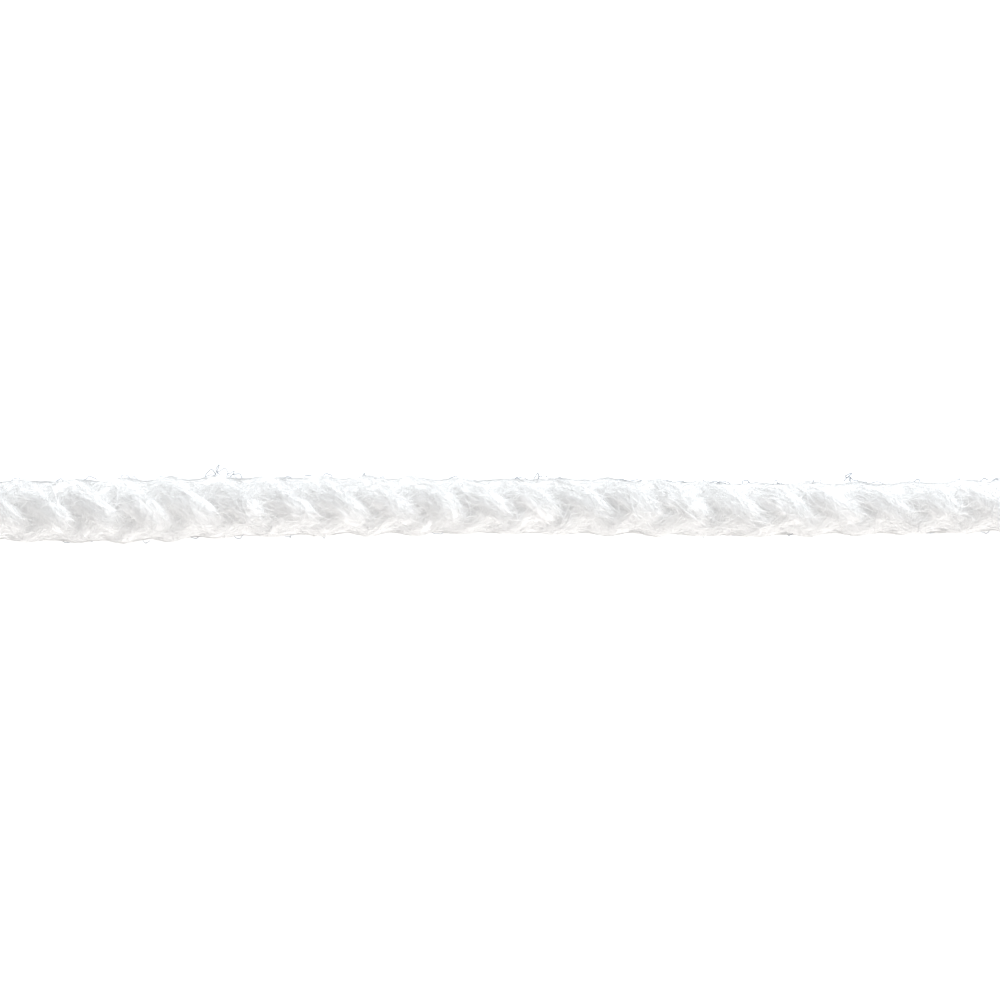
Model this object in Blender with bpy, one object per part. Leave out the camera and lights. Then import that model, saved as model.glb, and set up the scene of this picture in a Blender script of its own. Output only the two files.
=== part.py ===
"""A cut length of soft white braided polyester cord, lying straight on a table.

Eight thick strands are plaited round one another, four turning each way. Each strand passes
over two of the others and then under two, so the outside shows four lengthways columns of
raised crowns that slant one way and the other by turns. The columns wind slowly round the cord.
The cord lies along X, is cut square at both ends, and is pressed flat where it touches the table.
"""

import math

import bpy
import numpy as np

MM = 0.001

# Driving sizes.
CORD_LENGTH = 100 * MM
CORD_DIAMETER = 5.0 * MM  # over the crowns, at a scale of one in the table below
CROWN_PITCH = 4.49 * MM  # from one crown to the next in the same column
STRANDS_EACH_WAY = 4
STRAND_WIDTH = 1.95 * MM
STRAND_THICKNESS = 1.08 * MM
CROWN_RISE = 0.42 * MM  # how far a strand swings out when it is over, and in when it is under
DEEPEST_GAP = 1.15 * MM  # below the crowns, where no strand covers the inside
PRESSED_FLAT = 0.12 * MM  # how much of the underside the table flattens
SIDE_SHIFT = 0.178 * MM  # sets the origin under the middle of the cord's box

# The cord isn't even. Each row is one place along it: where it is and how far the cord lies to
# the side there in millimetres, its size against the nominal one, how far the columns have
# turned there in degrees from +Z towards +Y, and how far the crowns have slipped along it in
# millimetres.
ALONG, SIDEWAYS, SCALE, COLUMN_TURN, CROWN_SLIP = range(5)
STATIONS = np.array(
    [
        (-50, -0.20, 1.06, -3, -1.10),
        (-42, -0.30, 1.11, -3, -1.15),
        (-34, -0.24, 1.15, -3, -1.27),
        (-26, 0.04, 1.10, -3, -1.08),
        (-18, 0.14, 1.07, -3, -1.14),
        (-10, 0.18, 1.05, 1, -1.02),
        (-2, 0.14, 0.99, 9, -1.10),
        (6, 0.14, 1.01, 16, -1.45),
        (14, 0.02, 1.00, 15, -1.05),
        (22, -0.18, 0.97, 15, -1.05),
        (30, -0.10, 0.95, 14, -0.62),
        (38, -0.05, 0.94, 11, -0.18),
        (46, 0.18, 0.96, 8, 0.15),
        (50, 0.26, 0.97, 7, 0.20),
    ]
)

# No two strands are spun quite alike: each swells and thins a little along its length.
STRAND_UNEVENNESS = 0.06
SWELL_LENGTH = 17 * MM

# How finely the surface is stepped: the steps fall on the crowns and on the crossings.
STEPS_PER_PITCH = 8
STEPS_PER_COLUMN = 8

COLUMNS = 4
QUARTER_TURN = math.pi / 2
MEAN_RADIUS = CORD_DIAMETER / 2 - STRAND_THICKNESS / 2 - CROWN_RISE


def along_stations(column, x):
    """One column of STATIONS at each x: a smooth curve whose slope at a row joins its neighbours."""
    places = STATIONS[:, ALONG] * MM
    values = STATIONS[:, column]
    slopes = np.gradient(values, places)
    row = np.clip(np.searchsorted(places, x) - 1, 0, len(places) - 2)
    gap = places[row + 1] - places[row]
    t = (x - places[row]) / gap
    rising = t * t * (3 - 2 * t)
    leaving = t * (1 - t) ** 2 * gap * slopes[row]
    arriving = t * t * (1 - t) * gap * slopes[row + 1]
    return values[row] * (1 - rising) + values[row + 1] * rising + leaving - arriving


def column_turn(x):
    """The angle of the first column's middle at x, from +Z towards +Y."""
    return np.radians(along_stations(COLUMN_TURN, x))


def swing(angle):
    """1 where a strand lies over the others and -1 where it lies under them: a plain wave."""
    return np.cos(2 * angle)


def crowns_passed(x):
    """How many crown pitches lie between the middle of the cord and x."""
    return (x - along_stations(CROWN_SLIP, x) * MM) / CROWN_PITCH


def strand_places(x):
    """Each strand at x: its angle from the first column, its middle radius, and its swelling."""
    passed = crowns_passed(x)
    places = []
    for strand in range(STRANDS_EACH_WAY):
        falling = -QUARTER_TURN * (passed - strand)
        rising = QUARTER_TURN * (passed - strand - 0.5)
        for angle, over in ((falling, swing(falling)), (rising, -swing(rising))):
            wave = np.sin(math.tau * x / SWELL_LENGTH + 2.4 * len(places))
            places.append((angle, MEAN_RADIUS + CROWN_RISE * over, 1 + STRAND_UNEVENNESS * wave))
    return places


def surface_radius(angle, x):
    """How far the outermost strand reaches at that angle from the first column.

    A strand's outside is round across its width and wrapped round the cord. Its height is the
    half thickness times 1 - 0.35 s^2 - 0.65 s^4, where s is the share of the half width, and it
    falls on below the strand's edge until it meets the next strand.
    """
    slant = math.atan(QUARTER_TURN * MEAN_RADIUS / CROWN_PITCH)
    half_width = STRAND_WIDTH / 2 / math.cos(slant) / MEAN_RADIUS
    radius = np.full(np.broadcast(angle, x).shape, CORD_DIAMETER / 2 - DEEPEST_GAP)
    for strand_angle, strand_radius, swelling in strand_places(x):
        apart = (angle - strand_angle + math.pi) % math.tau - math.pi
        square = (apart / (half_width * swelling)) ** 2
        height = STRAND_THICKNESS / 2 * (1 - 0.35 * square - 0.65 * square * square)
        radius = np.maximum(radius, strand_radius + height * swelling)
    return radius


def resting_height(x):
    """The height of the cord's middle at x, at the nominal size.

    It is the reach of the crowns that face the table there, less what the table flattens.
    """
    nearest_column = (math.pi - column_turn(x) + QUARTER_TURN / 2) % QUARTER_TURN - QUARTER_TURN / 2
    reach = MEAN_RADIUS + CROWN_RISE * swing(nearest_column) + STRAND_THICKNESS / 2
    return reach - PRESSED_FLAT


def ring_places():
    """Where the rings lie along the cord: at even shares of a crown pitch, and at both ends."""
    end = CORD_LENGTH / 2
    fine = np.linspace(-end, end, 4001)
    steps = crowns_passed(fine) * STEPS_PER_PITCH
    inside = np.interp(np.arange(math.ceil(steps[0]), math.floor(steps[-1]) + 1), steps, fine)
    inside = inside[np.abs(inside) < end - 0.3 * CROWN_PITCH / STEPS_PER_PITCH]
    return np.concatenate([[-end], inside, [end]])


def cord_points():
    """The surface as rings of points, ring by ring along the cord, each pressed flat below."""
    x = ring_places()[:, None]
    angle = np.arange(COLUMNS * STEPS_PER_COLUMN)[None, :] * QUARTER_TURN / STEPS_PER_COLUMN
    radius = surface_radius(angle, x)
    turned = angle + column_turn(x)
    scale = along_stations(SCALE, x)
    y = along_stations(SIDEWAYS, x) * MM + SIDE_SHIFT + scale * radius * np.sin(turned)
    z = np.maximum(scale * (resting_height(x) + radius * np.cos(turned)), 0)
    return np.stack([np.broadcast_to(x, y.shape), y, z], axis=2)


def cord_faces(rings, steps):
    """Triangles between neighbouring rings, and one flat face at each cut end.

    A strand turns by one step for each ring, so the four points of a step are joined corner to
    corner along the strand that lies on top there: falling in every second column, else rising.
    """
    faces = []
    for ring in range(rings - 1):
        for step in range(steps):
            here = ring * steps + step
            beside = ring * steps + (step + 1) % steps
            ahead, ahead_beside = here + steps, beside + steps
            if round((step + 0.5) / STEPS_PER_COLUMN) % 2 == 0:
                faces += [(here, ahead, beside), (ahead, ahead_beside, beside)]
            else:
                faces += [(here, ahead, ahead_beside), (here, ahead_beside, beside)]
    left_end = tuple(range(steps))
    right_end = tuple((rings - 1) * steps + step for step in reversed(range(steps)))
    return faces + [left_end, right_end]


def yarn_material():
    """Soft spun polyester, matt and nearly pure white."""
    material = bpy.data.materials.new("white_polyester_yarn")
    material.use_nodes = True
    shader = material.node_tree.nodes["Principled BSDF"]
    shader.inputs["Base Color"].default_value = (0.92, 0.925, 0.92, 1)
    shader.inputs["Roughness"].default_value = 0.85
    shader.inputs["Metallic"].default_value = 0
    return material


def make_cord():
    points = cord_points()
    rings, steps, _ = points.shape
    mesh = bpy.data.meshes.new("braided_cord")
    mesh.from_pydata(points.reshape(-1, 3).tolist(), [], cord_faces(rings, steps))
    mesh.materials.append(yarn_material())
    mesh.shade_smooth()
    mesh.set_sharp_from_angle(angle=math.radians(50))
    cord = bpy.data.objects.new("braided_cord", mesh)
    bpy.context.scene.collection.objects.link(cord)


def clear_scene():
    for thing in list(bpy.data.objects):
        bpy.data.objects.remove(thing)


clear_scene()
make_cord()
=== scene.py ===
"""A cut length of soft white braided polyester cord on a plain white table.

All lengths are in metres. X runs along the cord, Y across it and Z up from the table.
"""

import math

import bpy
import numpy as np
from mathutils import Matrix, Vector


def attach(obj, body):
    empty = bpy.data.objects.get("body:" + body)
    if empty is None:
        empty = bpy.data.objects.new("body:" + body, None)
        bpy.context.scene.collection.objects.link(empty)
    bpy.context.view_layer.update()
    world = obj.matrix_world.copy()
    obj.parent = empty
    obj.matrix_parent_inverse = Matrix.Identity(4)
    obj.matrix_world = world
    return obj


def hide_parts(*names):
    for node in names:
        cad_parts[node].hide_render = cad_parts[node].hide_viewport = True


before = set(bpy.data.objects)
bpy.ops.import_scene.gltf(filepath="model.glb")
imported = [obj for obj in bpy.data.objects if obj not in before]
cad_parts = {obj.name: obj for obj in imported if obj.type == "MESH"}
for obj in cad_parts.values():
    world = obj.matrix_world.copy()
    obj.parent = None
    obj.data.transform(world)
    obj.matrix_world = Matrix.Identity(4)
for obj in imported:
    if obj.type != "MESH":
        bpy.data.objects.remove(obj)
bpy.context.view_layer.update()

# The camera
# A long lens looks straight down on the middle of the cord. Both cut ends lie just outside
# the picture, and the cord runs a little below the middle of it.
MM = 0.001
PICTURE_WIDTH = 92.6 * MM
CAMERA_HEIGHT = 700 * MM
CAMERA_ACROSS = 0.86 * MM
FILM_WIDTH = 36

camera_lens = bpy.data.cameras.new("camera")
camera_lens.sensor_width = FILM_WIDTH
camera_lens.lens = FILM_WIDTH * CAMERA_HEIGHT / PICTURE_WIDTH
camera = bpy.data.objects.new("camera", camera_lens)
camera.location = (0, CAMERA_ACROSS, CAMERA_HEIGHT)
bpy.context.scene.collection.objects.link(camera)
bpy.context.scene.camera = camera

# The braided cord
# Eight soft strands of spun polyester are plaited round one another, four turning each way,
# and each passes over two and under two. Nothing is fixed: the braid holds itself together.
CORD_LENGTH = 100 * MM
CORD_DIAMETER = 5.0 * MM
CROWN_PITCH = 4.49 * MM
STRANDS = 8
STRAND_WIDTH = 1.95 * MM
STRAND_THICKNESS = 1.08 * MM
CROWN_RISE = 0.42 * MM
PRESSED_FLAT = 0.12 * MM
SIDE_SHIFT = 0.178 * MM
QUARTER_TURN = math.pi / 2
MEAN_RADIUS = CORD_DIAMETER / 2 - STRAND_THICKNESS / 2 - CROWN_RISE
STRAND_UNEVENNESS = 0.06
SWELL_LENGTH = 17 * MM
SWELL_STEP = 2.4
CROWN_SWELL = 0.08
SLANT = math.atan(QUARTER_TURN * MEAN_RADIUS / CROWN_PITCH)
HALF_WIDTH = STRAND_WIDTH / 2 / math.cos(SLANT) / MEAN_RADIUS
SHOULDER, FALL = 0.35, 0.65
INNER_DEPTH = 1.4

# Each row is one place along the cord: where it is and how far the cord lies to the side there
# in millimetres, its size against the nominal one, how far the columns of crowns have turned
# there in degrees from +Z towards +Y, and how far the crowns have slipped in millimetres.
ALONG, SIDEWAYS, SCALE, COLUMN_TURN, CROWN_SLIP = range(5)
STATIONS = np.array(
    [
        (-50, -0.20, 1.06, -3, -1.10),
        (-42, -0.30, 1.11, -3, -1.15),
        (-34, -0.24, 1.15, -3, -1.27),
        (-26, 0.04, 1.10, -3, -1.08),
        (-18, 0.14, 1.07, -3, -1.14),
        (-10, 0.18, 1.05, 1, -1.02),
        (-2, 0.14, 0.99, 9, -1.10),
        (6, 0.14, 1.01, 16, -1.45),
        (14, 0.02, 1.00, 15, -1.05),
        (22, -0.18, 0.97, 15, -1.05),
        (30, -0.10, 0.95, 14, -0.62),
        (38, -0.05, 0.94, 11, -0.18),
        (46, 0.18, 0.96, 8, 0.15),
        (50, 0.26, 0.97, 7, 0.20),
    ]
)


def along_stations(column, x):
    """One column of STATIONS at each x: a smooth curve whose slope at a row joins its neighbours."""
    places = STATIONS[:, ALONG] * MM
    values = STATIONS[:, column]
    slopes = np.gradient(values, places)
    row = np.clip(np.searchsorted(places, x) - 1, 0, len(places) - 2)
    gap = places[row + 1] - places[row]
    t = (x - places[row]) / gap
    rising = t * t * (3 - 2 * t)
    leaving = t * (1 - t) ** 2 * gap * slopes[row]
    arriving = t * t * (1 - t) * gap * slopes[row + 1]
    return values[row] * (1 - rising) + values[row + 1] * rising + leaving - arriving


def swing(angle):
    """1 where a strand lies over the others and -1 where it lies under them: a plain wave."""
    return np.cos(2 * angle)


def strand_middle(strand, x):
    """A strand's angle from the first column, its middle radius and its swelling at each x.

    The strands are numbered so that the even ones fall and the odd ones rise round the cord. A
    strand turns by a quarter for each crown pitch, and it is a little fuller on its crowns.
    """
    passed = (x - along_stations(CROWN_SLIP, x) * MM) / CROWN_PITCH
    rises = strand % 2
    turned = QUARTER_TURN * (passed - strand // 2 - 0.5 * rises)
    angle = np.where(rises, turned, -turned)
    over = np.where(rises, -swing(angle), swing(angle))
    wave = np.sin(math.tau * x / SWELL_LENGTH + SWELL_STEP * strand)
    swelling = 1 + STRAND_UNEVENNESS * wave + CROWN_SWELL * over
    return angle, MEAN_RADIUS + CROWN_RISE * over, swelling


def cord_middle(x):
    """The cord's own middle line at each x: how far across it lies, how high, its size and turn.

    Its height is the reach of the crowns that face the table, less what the table flattens.
    """
    turn = np.radians(along_stations(COLUMN_TURN, x))
    scale = along_stations(SCALE, x)
    across = along_stations(SIDEWAYS, x) * MM + SIDE_SHIFT
    nearest_column = (math.pi - turn + QUARTER_TURN / 2) % QUARTER_TURN - QUARTER_TURN / 2
    reach = MEAN_RADIUS + CROWN_RISE * swing(nearest_column) + STRAND_THICKNESS / 2
    return across, scale * (reach - PRESSED_FLAT), scale, turn


def in_place(x, around, radius):
    """Points at x, at an angle from the first column and at a radius of the nominal cord."""
    across, height, scale, turn = cord_middle(x)
    y = across + scale * radius * np.sin(around + turn)
    z = height + scale * radius * np.cos(around + turn)
    return np.stack(np.broadcast_arrays(x, y, z), axis=-1)


def outer_side(share):
    """How high a strand's outer side is, at that share of its half width: a rounded shoulder."""
    return 1 - SHOULDER * share**2 - FALL * share**4


def on_strand(strand, x, round_strand, proud):
    """The point on a strand's skin at x, that far round the strand, standing that proud of it.

    Round the strand, 0 is its outermost line and plus or minus a quarter turn its two edges. The
    outer side follows outer_side, and the inner side is half an ellipse. The section is wrapped
    round the cord's middle.
    """
    angle, middle, swelling = strand_middle(strand, x)
    share = np.sin(round_strand)
    inner = -INNER_DEPTH * np.sqrt(np.clip(1 - share * share, 0, 1))
    depth = np.where(np.cos(round_strand) >= 0, outer_side(share), inner)
    radius = middle + STRAND_THICKNESS / 2 * swelling * depth + proud * np.cos(round_strand)
    wide = HALF_WIDTH * swelling * share + proud * share / middle
    points = in_place(x, angle + wide, radius)
    points[..., 2] = np.maximum(points[..., 2], 0)
    return points


def smooth_noise(random, rows, knots, steps):
    """A smooth random wave for each row, about 1 high, with that many knots read at the steps."""
    values = random.normal(size=(rows, knots + 3))
    place = np.linspace(0, knots - 1e-6, steps)
    knot = place.astype(int)
    t = place - knot
    before, here, after, beyond = (values[:, knot + k] for k in range(4))
    curve = 2 * here + (after - before) * t
    curve += (2 * before - 5 * here + 4 * after - beyond) * t**2
    curve += (3 * here - before - 3 * after + beyond) * t**3
    return curve / 2


def tube_faces(tubes, rings, sides):
    """Four-cornered faces round every tube of a stack of tubes, and its two closed ends."""
    tube, ring, side = np.meshgrid(
        np.arange(tubes), np.arange(rings - 1), np.arange(sides), indexing="ij"
    )
    here = (tube * rings + ring) * sides + side
    beside = (tube * rings + ring) * sides + (side + 1) % sides
    walls = np.stack([here, beside, beside + sides, here + sides], axis=-1).reshape(-1, 4)
    first = np.arange(tubes)[:, None] * rings * sides + np.arange(sides)[None, ::-1]
    last = first[:, ::-1] + (rings - 1) * sides
    return walls, np.concatenate([first, last])


def add_tubes(name, points, lengthways, material):
    """One smooth mesh of closed tubes, from points by tube, ring and side. It goes with the cord.

    The lengthways attribute holds the metres along a strand, the metres round it and a number
    for the strand or the fibre.
    """
    tubes, rings, sides, _ = points.shape
    walls, ends = tube_faces(tubes, rings, sides)
    mesh = bpy.data.meshes.new(name)
    mesh.vertices.add(tubes * rings * sides)
    mesh.vertices.foreach_set("co", points.astype(np.float32).ravel())
    loops = np.concatenate([walls.ravel(), ends.ravel()])
    sizes = np.concatenate([np.full(len(walls), 4), np.full(len(ends), sides)])
    mesh.loops.add(len(loops))
    mesh.loops.foreach_set("vertex_index", loops.astype(np.int32))
    mesh.polygons.add(len(sizes))
    starts = np.concatenate([[0], np.cumsum(sizes)[:-1]])
    mesh.polygons.foreach_set("loop_start", starts.astype(np.int32))
    mesh.polygons.foreach_set("use_smooth", np.ones(len(sizes), dtype=bool))
    layer = mesh.attributes.new("lengthways", "FLOAT_VECTOR", "POINT")
    layer.data.foreach_set("vector", lengthways.astype(np.float32).ravel())
    mesh.update(calc_edges=True)
    mesh.validate()
    mesh.materials.append(material)
    piece = bpy.data.objects.new(name, mesh)
    bpy.context.scene.collection.objects.link(piece)
    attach(piece, "root")
    return piece


# The streaks repeat this often in a metre along a strand, a metre round it and from one strand
# to the next. The glow is painted light: the yarn itself emits a little, in place of the bright
# table's light that would come through the loose yarn and fill the hollows.
STREAK_GRAIN = (500, 4500, 57)
STREAK_DETAIL = 4
STREAK_SOFTNESS = 0.65
DARK_STREAK, LIGHT_STREAK = 0.3, 0.62
ROUGHNESS = 0.85
SHINE = 0.2
SHEEN = 0.1
SHEEN_ROUGHNESS = 0.5
BUMP_STRENGTH = 0.8
LIGHT_REACH = 0.4 * MM
PAINTED_GLOW = 0.109


def spun_polyester(name, colour, shade, streak_depth, scattering, glow):
    """Spun yarn: fine streaks along the strand, in colour and as bump, in a soft matt white.

    The shade is how dark the darkest streak is against the colour.
    """
    material = bpy.data.materials.new(name)
    material.use_nodes = True
    nodes, links = material.node_tree.nodes, material.node_tree.links
    shader = nodes["Principled BSDF"]
    shader.inputs["Roughness"].default_value = ROUGHNESS
    shader.inputs["Specular IOR Level"].default_value = SHINE
    shader.inputs["Sheen Weight"].default_value = SHEEN
    shader.inputs["Sheen Roughness"].default_value = SHEEN_ROUGHNESS
    shader.inputs["Subsurface Weight"].default_value = scattering
    shader.inputs["Subsurface Radius"].default_value = (1.0, 1.0, 1.0)
    shader.inputs["Subsurface Scale"].default_value = LIGHT_REACH
    # Painted light: the yarn glows a little, standing in for the table's light coming through it.
    shader.inputs["Emission Color"].default_value = (1.0, 1.0, 1.0, 1)
    shader.inputs["Emission Strength"].default_value = glow
    place = nodes.new("ShaderNodeAttribute")
    place.attribute_name = "lengthways"
    stretch = nodes.new("ShaderNodeVectorMath")
    stretch.operation = "MULTIPLY"
    stretch.inputs[1].default_value = STREAK_GRAIN
    streaks = nodes.new("ShaderNodeTexNoise")
    streaks.inputs["Scale"].default_value = 1
    streaks.inputs["Detail"].default_value = STREAK_DETAIL
    streaks.inputs["Roughness"].default_value = STREAK_SOFTNESS
    tint = nodes.new("ShaderNodeValToRGB")
    tint.color_ramp.elements[0].position = DARK_STREAK
    tint.color_ramp.elements[0].color = tuple(shade * c for c in colour) + (1,)
    tint.color_ramp.elements[1].position = LIGHT_STREAK
    tint.color_ramp.elements[1].color = tuple(colour) + (1,)
    bump = nodes.new("ShaderNodeBump")
    bump.inputs["Distance"].default_value = streak_depth
    bump.inputs["Strength"].default_value = BUMP_STRENGTH
    links.new(place.outputs["Vector"], stretch.inputs[0])
    links.new(stretch.outputs["Vector"], streaks.inputs["Vector"])
    links.new(streaks.outputs["Fac"], tint.inputs["Fac"])
    links.new(tint.outputs["Color"], shader.inputs["Base Color"])
    links.new(streaks.outputs["Fac"], bump.inputs["Height"])
    links.new(bump.outputs["Normal"], shader.inputs["Normal"])
    return material


STRAND_RINGS = 260
OUTER_STEPS = 23
INNER_STEPS = 8
TAKE_UP = 1.25
CUT_UNEVENNESS = 0.25 * MM
YARN_SEED = 5
RIDGES = 7
RIDGE_HEIGHT = 0.03 * MM
RIDGE_STEP = 1.3
RIDGE_WANDER = 1.2
WANDERS_ALONG = 40
LUMP_HEIGHT = 0.06 * MM
LUMP_WAVES = 5
LUMPS_ALONG = 90
YARN_WHITE = (0.975, 0.975, 0.975)

strand_yarn = spun_polyester(
    "strand_yarn", YARN_WHITE, shade=0.89, streak_depth=0.04 * MM, scattering=1.0, glow=PAINTED_GLOW
)
random = np.random.default_rng(YARN_SEED)
outer_round = np.linspace(-QUARTER_TURN, QUARTER_TURN, OUTER_STEPS)
inner_round = np.linspace(QUARTER_TURN, 3 * QUARTER_TURN, INNER_STEPS)[1:-1]
round_strand = np.concatenate([outer_round, inner_round])
strand = np.arange(STRANDS)[:, None, None]
half_length = CORD_LENGTH / 2 - random.uniform(0, CUT_UNEVENNESS, (STRANDS, 1, 1))
x = half_length * np.linspace(-1, 1, STRAND_RINGS)[None, :, None]
wander = smooth_noise(random, STRANDS, WANDERS_ALONG, STRAND_RINGS)[:, :, None]
ridges = np.cos(2 * RIDGES * round_strand + RIDGE_WANDER * wander + RIDGE_STEP * strand)
lumps = np.zeros((STRANDS, STRAND_RINGS, len(round_strand)))
for waves in range(1, LUMP_WAVES + 1):
    for turned in (0, QUARTER_TURN):
        swell = smooth_noise(random, STRANDS, LUMPS_ALONG, STRAND_RINGS)[:, :, None]
        lumps += swell * np.cos(waves * round_strand + turned) / math.sqrt(LUMP_WAVES)
outside = np.clip(3 * np.cos(round_strand), 0, 1)
proud = (RIDGE_HEIGHT * ridges + LUMP_HEIGHT * lumps) * outside
points = on_strand(strand, x, round_strand, proud)
lengthways = np.stack(
    np.broadcast_arrays(TAKE_UP * x, 0.5 * STRAND_WIDTH * round_strand, 1.0 * strand), axis=-1
)
braided_strands = add_tubes("braided_strands", points, lengthways, strand_yarn)
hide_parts("braided_cord")

# The long fibres along the two sides
# Loose polyester fibres of the spun yarn stretch from crown to crown and close the hollows
# between the strands with a thin edge. They are part of the yarn, held by its twist.
SIDE_FIBRES = 340
SIDE_RINGS = 55
SIDE_SPREAD = 0.14
SIDE_WANDER = 0.05
SIDE_WAVE = 0.016 * MM
FIBRE_SEED = 31
FIBRE_SIDES = 3
FIBRE_STREAK = 0.005 * MM

# Here and further down, the least and the greatest length and thickness of a fibre, and how
# high it lifts, are in millimetres.
SIDE_LENGTHS = (8, 26)
SIDE_THICKNESS = (0.022, 0.042)

# The skin's middle height is read over a patch round each point: so many millimetres ahead and
# so far round the cord. The bumps and ripples repeat along the cord at their two lengths.
DEEPEST_GAP = 0.95 * MM
STRAND_EDGE = 1.1
PATCH_ALONG = (-1.2, -0.4, 0.4, 1.2)
PATCH_ROUND = (-0.4, 0.0, 0.4)
ENVELOPE_RISE = 0.30 * MM
ENVELOPE_BUMP = 0.045 * MM
BUMP_LENGTH = 3.7 * MM
RIPPLE_LENGTH = 1.3 * MM
FRAYED_END = 0.3 * MM
# The side fibres are painted a darker grey than the yarn's white. This painted shade draws the
# cord's outline as a grey line.
SIDE_PAINTED_SHADE = (0.79, 0.79, 0.79)


def skin_radius(x, around):
    """The cord's outer radius at x and an angle from the first column, and which strand has it.

    It is the highest outer side of the strands there. Between strands it sinks no lower than
    DEEPEST_GAP under the cord's nominal radius.
    """
    highest = np.full(np.shape(x), CORD_DIAMETER / 2 - DEEPEST_GAP)
    outermost = np.zeros(np.shape(x), dtype=int)
    for strand in range(STRANDS):
        angle, middle, swelling = strand_middle(strand, x)
        apart = (around - angle + math.pi) % math.tau - math.pi
        share = apart / (HALF_WIDTH * swelling)
        radius = middle + STRAND_THICKNESS / 2 * swelling * outer_side(share)
        higher = (np.abs(share) < STRAND_EDGE) & (radius > highest)
        highest = np.where(higher, radius, highest)
        outermost = np.where(higher, strand, outermost)
    return highest, outermost


def envelope_radius(x, around):
    """A radius that touches the crowns and sags a little between them.

    It is the skin's mean radius over a patch round the point, raised until it meets the crowns,
    and waves gently in two lengths.
    """
    total = np.zeros(np.shape(x))
    for ahead in PATCH_ALONG:
        for aside in PATCH_ROUND:
            total += skin_radius(x + ahead * MM, around + aside)[0]
    mean = total / (len(PATCH_ALONG) * len(PATCH_ROUND))
    coarse = np.sin(math.tau * x / BUMP_LENGTH + 2 * around)
    fine = np.sin(math.tau * x / RIPPLE_LENGTH - 3 * around + 2 * coarse)
    return mean + ENVELOPE_RISE + ENVELOPE_BUMP * (coarse + 0.6 * fine)


def side_fibres(random, count, rings, length):
    """Middle lines of long fibres that stretch from crown to crown along the cord's two sides."""
    start = random.uniform(-0.5, 0.5, count)[:, None] * CORD_LENGTH
    x = start + length[:, None] * np.linspace(-0.5, 0.5, rings)
    x = np.clip(x, -CORD_LENGTH / 2 - FRAYED_END, CORD_LENGTH / 2 + FRAYED_END)
    side = np.where(random.random(count) < 0.5, 1, -1) * QUARTER_TURN
    around = (side + random.normal(0, SIDE_SPREAD, count))[:, None]
    around = around + SIDE_WANDER * smooth_noise(random, count, 7, rings) - cord_middle(x)[3]
    radius = envelope_radius(x, around) + SIDE_WAVE * smooth_noise(random, count, 14, rings)
    return in_place(x, around, np.maximum(radius, skin_radius(x, around)[0]))


def add_fibres(name, middles, thickness, lock, material):
    """Thin three-sided tubes carried along rows of middle points, pointed at both ends.

    Each ring lies square to the fibre: one side direction is level, and the other is square to it.
    The lock says how far across its strand a fibre lies, and the number of the strand, so that
    the fibres of one lock share the streaks of the strand under them.
    """
    fibres, rings, _ = middles.shape
    along = np.gradient(middles, axis=1)
    along /= np.linalg.norm(along, axis=2, keepdims=True) + 1e-12
    upright = np.zeros_like(along)
    upright[..., 2] = 1
    upright[np.abs(along[..., 2]) > 0.9] = (0, 1, 0)
    level = np.cross(along, upright)
    level /= np.linalg.norm(level, axis=2, keepdims=True)
    square = np.cross(level, along)
    taper = np.sqrt(np.clip(1 - np.linspace(-1, 1, rings) ** 4, 0.05, 1))
    radius = thickness[:, None] / 2 * taper
    turn = math.tau * np.arange(FIBRE_SIDES) / FIBRE_SIDES
    rim = level[:, :, None] * np.cos(turn)[:, None] + square[:, :, None] * np.sin(turn)[:, None]
    points = middles[:, :, None] + radius[:, :, None, None] * rim
    points[..., 2] = np.maximum(points[..., 2], 0)
    lengthways = np.empty_like(points)
    lengthways[..., 0] = TAKE_UP * middles[:, :, None, 0]
    lengthways[..., 1:] = lock[:, None, None, :]
    return add_tubes(name, points, lengthways, material)


def lone_locks(count):
    """A lock of its own for each fibre, numbered past the strands."""
    return np.stack([np.zeros(count), STRANDS + 2.0 + np.arange(count)], axis=1)


# The side fibres' darker grey is painted shade, not a colour of the yarn.
side_yarn_painted_shade = spun_polyester(
    "side_yarn_painted_shade", SIDE_PAINTED_SHADE, shade=0.94, streak_depth=FIBRE_STREAK, scattering=0.0, glow=0.0
)
random = np.random.default_rng(FIBRE_SEED)
length = random.uniform(*SIDE_LENGTHS, SIDE_FIBRES) * MM
middles = side_fibres(random, SIDE_FIBRES, SIDE_RINGS, length)
thickness = random.uniform(*SIDE_THICKNESS, SIDE_FIBRES) * MM
lock = lone_locks(SIDE_FIBRES)
add_fibres("side_fibres", middles, thickness, lock, side_yarn_painted_shade)

# The veil
# Fibres of the same spun polyester have worked loose and lie slack over the strands, where they
# bridge the hollows. One end or both are still twisted into a strand.
BRIDGING = 3
FIBRE_WAVE = 0.03 * MM
CLEAR_OF_TABLE = 0.03 * MM
VEIL_TRIED = 4100
VEIL_FIBRES = 2900
VEIL_RINGS = 12
VEIL_LENGTHS = (2.0, 6.0)
VEIL_THICKNESS = (0.04, 0.07)
VEIL_RAISED = (0.3, 1.0)
VEIL_CURL = 0.5

# Half of the fibres go astray by the first angle and half by the second, in radians.
VEIL_ASTRAY = (0.4, 1.2)


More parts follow.
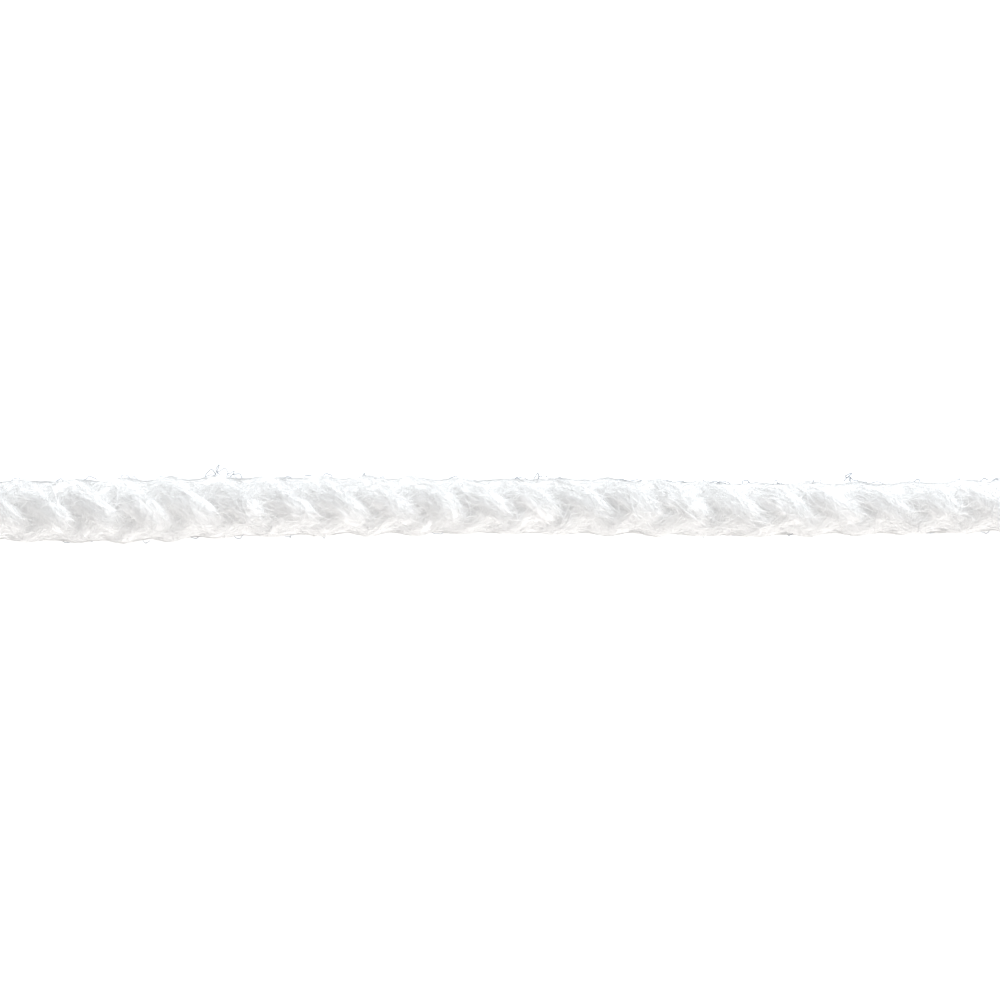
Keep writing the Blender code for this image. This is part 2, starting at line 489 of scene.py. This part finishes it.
def laid_fibres(random, count, rings, length, astray, curl, raised, lift):
    """Middle lines of fibres that lie over the cord and bridge its hollows, and their locks.

    Each starts at a random place and heads along the strand that is outermost there, astray by a
    random angle, and curls unevenly. It lies at the skin's radius, evened out along the fibre and
    raised by its own share of the way to the envelope, plus its own lift and a smooth random wave.
    Fibres that the table would press are left out.
    """
    start = random.uniform(-0.5, 0.5, count) * CORD_LENGTH
    turned = random.uniform(-math.pi, math.pi, count)
    _, outermost = skin_radius(start, turned)
    angle, _, swelling = strand_middle(outermost, start)
    apart = (turned - angle + math.pi) % math.tau - math.pi
    share = np.clip(apart / (HALF_WIDTH * swelling), -1, 1)
    lock = np.stack([0.5 * STRAND_WIDTH * np.arcsin(share), outermost], axis=1)
    lie = math.atan(QUARTER_TURN * CORD_DIAMETER / 2 / CROWN_PITCH)
    slope = np.where(outermost % 2, lie, -lie)
    heading = (slope + random.normal(0, 1, count) * astray)[:, None]
    heading = heading + curl * smooth_noise(random, count, 3, rings)
    stride = length[:, None] / (rings - 1)
    x = np.cumsum(np.cos(heading), axis=1) * stride
    x += start[:, None] - x.mean(axis=1, keepdims=True)
    around = np.cumsum(np.sin(heading), axis=1) * stride / (CORD_DIAMETER / 2)
    around += turned[:, None] - around.mean(axis=1, keepdims=True)
    x = np.clip(x, -CORD_LENGTH / 2 - FRAYED_END, CORD_LENGTH / 2 + FRAYED_END)
    skin, _ = skin_radius(x, around)
    radius = skin
    for _ in range(BRIDGING):
        edged = np.concatenate([radius[:, :1], radius, radius[:, -1:]], axis=1)
        radius = np.maximum(0.5 * edged[:, 1:-1] + 0.25 * (edged[:, :-2] + edged[:, 2:]), skin)
    if raised.any():
        radius += raised[:, None] * np.maximum(envelope_radius(x, around) - radius, 0)
    radius += lift[:, None] + FIBRE_WAVE * smooth_noise(random, count, 3, rings)
    middles = in_place(x, around, radius)
    clear = middles[..., 2].min(axis=1) > CLEAR_OF_TABLE
    return middles[clear], lock[clear]


fibre_yarn = spun_polyester(
    "fibre_yarn", YARN_WHITE, shade=0.92, streak_depth=FIBRE_STREAK, scattering=0.8, glow=PAINTED_GLOW
)
length = random.uniform(*VEIL_LENGTHS, VEIL_TRIED) * MM
raised = random.uniform(*VEIL_RAISED, VEIL_TRIED)
astray = np.where(random.random(VEIL_TRIED) < 0.5, *VEIL_ASTRAY)
middles, lock = laid_fibres(
    random, VEIL_TRIED, VEIL_RINGS, length, astray, VEIL_CURL, raised, np.zeros(VEIL_TRIED)
)
middles, lock = middles[:VEIL_FIBRES], lock[:VEIL_FIBRES]
thickness = random.uniform(*VEIL_THICKNESS, VEIL_FIBRES) * MM
add_fibres("veil_fibres", middles, thickness, lock, fibre_yarn)

# The loose curls
# Single fibres of the yarn, and one small tuft of them, spring out of the cord's two sides in
# loose curls. Each is twisted into the yarn at its foot.
SMALL_CURLS = 70
CURL_RINGS = 20
CURL_ROOT = 0.12
CURL_THICKNESS = (0.065, 0.10)
CURL_SLANT = 0.25
SWAY_ALONG, SWAY_OUT = 0.2, 0.15
# The curls are painted a dark cool grey instead of the yarn's white. This painted shade lets the
# white fibres show as grey wisps against the white table.
LOOSE_PAINTED_SHADE = (0.31, 0.35, 0.41)

# The small curls: how far along the cord they reach, their mean angle and its spread, their
# least height and what the highest has more, and their lengths. Most are on the far side.
UPPER_SHARE = 0.6
SMALL_REACH = 49
SMALL_ANGLE = (88, 4)
SMALL_RISE, RISE_SPREAD = 0.12, 0.35
SMALL_LENGTHS = (0.5, 1.6)


def curled_fibres(random, places, rings):
    """Middle lines of single fibres that spring out of the skin in a loose curl.

    Each place says where along the cord in millimetres, the angle from +Z in degrees, how high it
    rises and how long it is in millimetres. It rises like half a wave and wavers on the way.
    """
    x, angle, rise, length = (places[:, column][:, None] for column in range(4))
    share = np.linspace(0, 1, rings)[None, :]
    slant = random.uniform(-1, 1, len(places))[:, None]
    waver = smooth_noise(random, 2 * len(places), 6, rings).reshape(2, len(places), rings)
    out_x = (x + length * (share - 0.5) + SWAY_ALONG * rise * waver[0]) * MM
    out = rise * np.sin(math.pi * share) + SWAY_OUT * rise * waver[1] - CURL_ROOT
    around = np.radians(angle) + CURL_SLANT * slant * (share - 0.5) - cord_middle(out_x)[3]
    return in_place(out_x, around, CORD_DIAMETER / 2 + out * MM)


side = np.where(random.random(SMALL_CURLS) < UPPER_SHARE, 1, -1)
small_curls = np.stack(
    [
        random.uniform(-SMALL_REACH, SMALL_REACH, SMALL_CURLS),
        side * random.normal(*SMALL_ANGLE, SMALL_CURLS),
        SMALL_RISE + RISE_SPREAD * random.random(SMALL_CURLS) ** 2,
        random.uniform(*SMALL_LENGTHS, SMALL_CURLS),
    ],
    axis=1,
)
large_curls = np.array(
    [
        (-26.6, 88, 0.60, 1.3),
        (-26.0, 82, 1.05, 0.9),
        (-25.5, 90, 0.75, 1.4),
        (-24.7, 85, 0.55, 1.0),
        (32.3, 86, 0.85, 0.5),
        (32.6, 90, 0.60, 1.0),
        (3.4, 84, 0.55, 0.9),
        (4.0, 90, 0.45, 1.1),
        (38.6, 88, 0.45, 0.8),
        (45.5, 85, 0.50, 1.4),
    ]
)
# The curls' dark cool grey is painted shade, not a colour of the yarn.
loose_yarn_painted_shade = spun_polyester(
    "loose_yarn_painted_shade", LOOSE_PAINTED_SHADE, shade=0.94, streak_depth=FIBRE_STREAK, scattering=0.0, glow=0.0
)
middles = curled_fibres(random, np.concatenate([small_curls, large_curls]), CURL_RINGS)
thickness = random.uniform(*CURL_THICKNESS, len(middles)) * MM
lock = lone_locks(len(middles))
add_fibres("curled_fibres", middles, thickness, lock, loose_yarn_painted_shade)

# The short fibres of the surface
# The ends of the spun polyester fibres lie along every strand where it comes to the outside, a
# little lifted and a little crossed. They are the yarn's own, so they fray with it.
SHORT_PIECES = 3
SHORT_TRIED = 6600
SHORT_FIBRES = 5300
SHORT_RINGS = 6
SHORT_LENGTHS = (1.2, 4.2)
SHORT_THICKNESS = (0.03, 0.055)
SHORT_ASTRAY = (0.15, 0.7)
SHORT_CURL = 0.25
SHORT_LIFT = (0.01, 0.09)
STRAY_LIFT = 0.12
SHORT_SEED = 11

for number in range(SHORT_PIECES):
    random = np.random.default_rng(SHORT_SEED + number)
    length = random.uniform(*SHORT_LENGTHS, SHORT_TRIED) * MM
    astray = np.where(random.random(SHORT_TRIED) < 0.5, *SHORT_ASTRAY)
    lift = random.uniform(*SHORT_LIFT, SHORT_TRIED)
    lift = (lift + STRAY_LIFT * random.random(SHORT_TRIED) ** 4) * MM
    flat = np.zeros(SHORT_TRIED)
    middles, lock = laid_fibres(
        random, SHORT_TRIED, SHORT_RINGS, length, astray, SHORT_CURL, flat, lift
    )
    middles, lock = middles[:SHORT_FIBRES], lock[:SHORT_FIBRES]
    thickness = random.uniform(*SHORT_THICKNESS, SHORT_FIBRES) * MM
    name = f"surface_fibres_{number + 1}"
    add_fibres(name, middles, thickness, lock, fibre_yarn)

# The cut ends
# The cord is cut straight across with scissors. The cut fibres of each strand stand out of it
# by about a millimetre and splay a little, as nothing seals or binds them.
END_FIBRES = 70
END_RINGS = 5
END_ROOT = 0.5 * MM
END_LENGTHS = (0.1, 1.1)
END_THICKNESS = (0.05, 0.09)
END_DEPTHS = (-1.2, 0.9)
END_WIDTH = 0.9
END_SEED = 47

# How far the tips splay round the cord in radians, and the mean and spread of how far they fall
# out of line in millimetres.
END_SPLAY = 0.22
END_FALL = (-0.1, 0.25)


def cut_fibres(random, count, rings, length):
    """Middle lines of the fibres that stand out of every strand at both ends, and their locks.

    A fibre starts inside its strand, at a random share of the section, goes on the way that the
    strand goes, and leaves it by the square of how far it has come.
    """
    strand = np.tile(np.arange(STRANDS), 2 * count)
    end = np.repeat([-1, 1], STRANDS * count)
    share = random.uniform(-END_WIDTH, END_WIDTH, len(strand))
    depth = random.uniform(*END_DEPTHS, len(strand)) * outer_side(share)
    come = np.linspace(0, 1, rings)
    reach = CORD_LENGTH / 2 - END_ROOT + (END_ROOT + length[:, None]) * come
    x = end[:, None] * reach
    angle, middle, swelling = strand_middle(strand[:, None], x)
    splay = random.normal(0, END_SPLAY, (len(strand), 1)) * come**2
    fall = random.normal(*END_FALL, (len(strand), 1)) * MM * come**2
    radius = middle + STRAND_THICKNESS / 2 * swelling * depth[:, None] + fall
    around = angle + HALF_WIDTH * swelling * share[:, None] + splay
    lock = np.stack([0.5 * STRAND_WIDTH * np.arcsin(share), strand], axis=1)
    return in_place(x, around, radius), lock


random = np.random.default_rng(END_SEED)
length = random.uniform(*END_LENGTHS, 2 * STRANDS * END_FIBRES) * MM
middles, lock = cut_fibres(random, END_FIBRES, END_RINGS, length)
thickness = random.uniform(*END_THICKNESS, len(middles)) * MM
add_fibres("end_fibres", middles, thickness, lock, fibre_yarn)

# The cord's middle line
# The cord, cut to 100 mm, lies loose on the table. Its length is divided into even steps along
# its own middle line. Nothing holds it.
PATH_STEPS = 60

x = np.linspace(-CORD_LENGTH / 2, CORD_LENGTH / 2, PATH_STEPS)

# The table
# A plain white table top, matt and level, is lit so brightly that no shadow on it can be seen.
# The cord only lies on it.
TABLE_REACH = 2.0
TABLE_DROP = 0.02 * MM
TABLE_WHITE = 0.8
TABLE_GLOW = 0.44
TABLE_ROUGHNESS = 0.9

table_mesh = bpy.data.meshes.new("table")
corners = [(-1, -1), (1, -1), (1, 1), (-1, 1)]
corners = [(TABLE_REACH * x, TABLE_REACH * y, 0) for x, y in corners]
table_mesh.from_pydata(corners, [], [(0, 1, 2, 3)])
table_paint = bpy.data.materials.new("table_white")
table_paint.use_nodes = True
shader = table_paint.node_tree.nodes["Principled BSDF"]
shader.inputs["Base Color"].default_value = (TABLE_WHITE, TABLE_WHITE, TABLE_WHITE, 1)
shader.inputs["Roughness"].default_value = TABLE_ROUGHNESS
shader.inputs["Emission Color"].default_value = (1, 1, 1, 1)
shader.inputs["Emission Strength"].default_value = TABLE_GLOW
table_mesh.materials.append(table_paint)
table = bpy.data.objects.new("table", table_mesh)
table.location = (0, 0, -TABLE_DROP)
bpy.context.scene.collection.objects.link(table)

# The light
# A soft window light stands to the upper right. Two low lights graze the far and the near side
# of the cord, a cool one and a warm one, and the pale room fills in from all round.
ROOM_LIGHT = 0.48

room = bpy.data.worlds.new("pale_room")
room.use_nodes = True
room.node_tree.nodes["Background"].inputs["Color"].default_value = (1, 1, 1, 1)
room.node_tree.nodes["Background"].inputs["Strength"].default_value = ROOM_LIGHT
bpy.context.scene.world = room


def disk_light(name, place, size, energy, colour):
    """A round soft light at the place, turned towards the middle of the cord."""
    light = bpy.data.lights.new(name, "AREA")
    light.shape = "DISK"
    light.size = size
    light.energy = energy
    light.color = colour
    stand = bpy.data.objects.new(name, light)
    stand.location = place
    stand.rotation_euler = Vector(place).to_track_quat("Z", "Y").to_euler()
    bpy.context.scene.collection.objects.link(stand)


disk_light("window", (0.29, 0.26, 0.24), size=0.36, energy=0.74, colour=(1.0, 1.0, 1.0))
disk_light("far_light", (0.28, 0.41, 0.13), size=0.35, energy=2.9, colour=(0.88, 0.95, 1.0))
disk_light("near_light", (0.04, -0.34, 0.08), size=0.20, energy=0.90, colour=(1.0, 0.95, 0.91))
bpy.context.scene.view_settings.view_transform = "Standard"
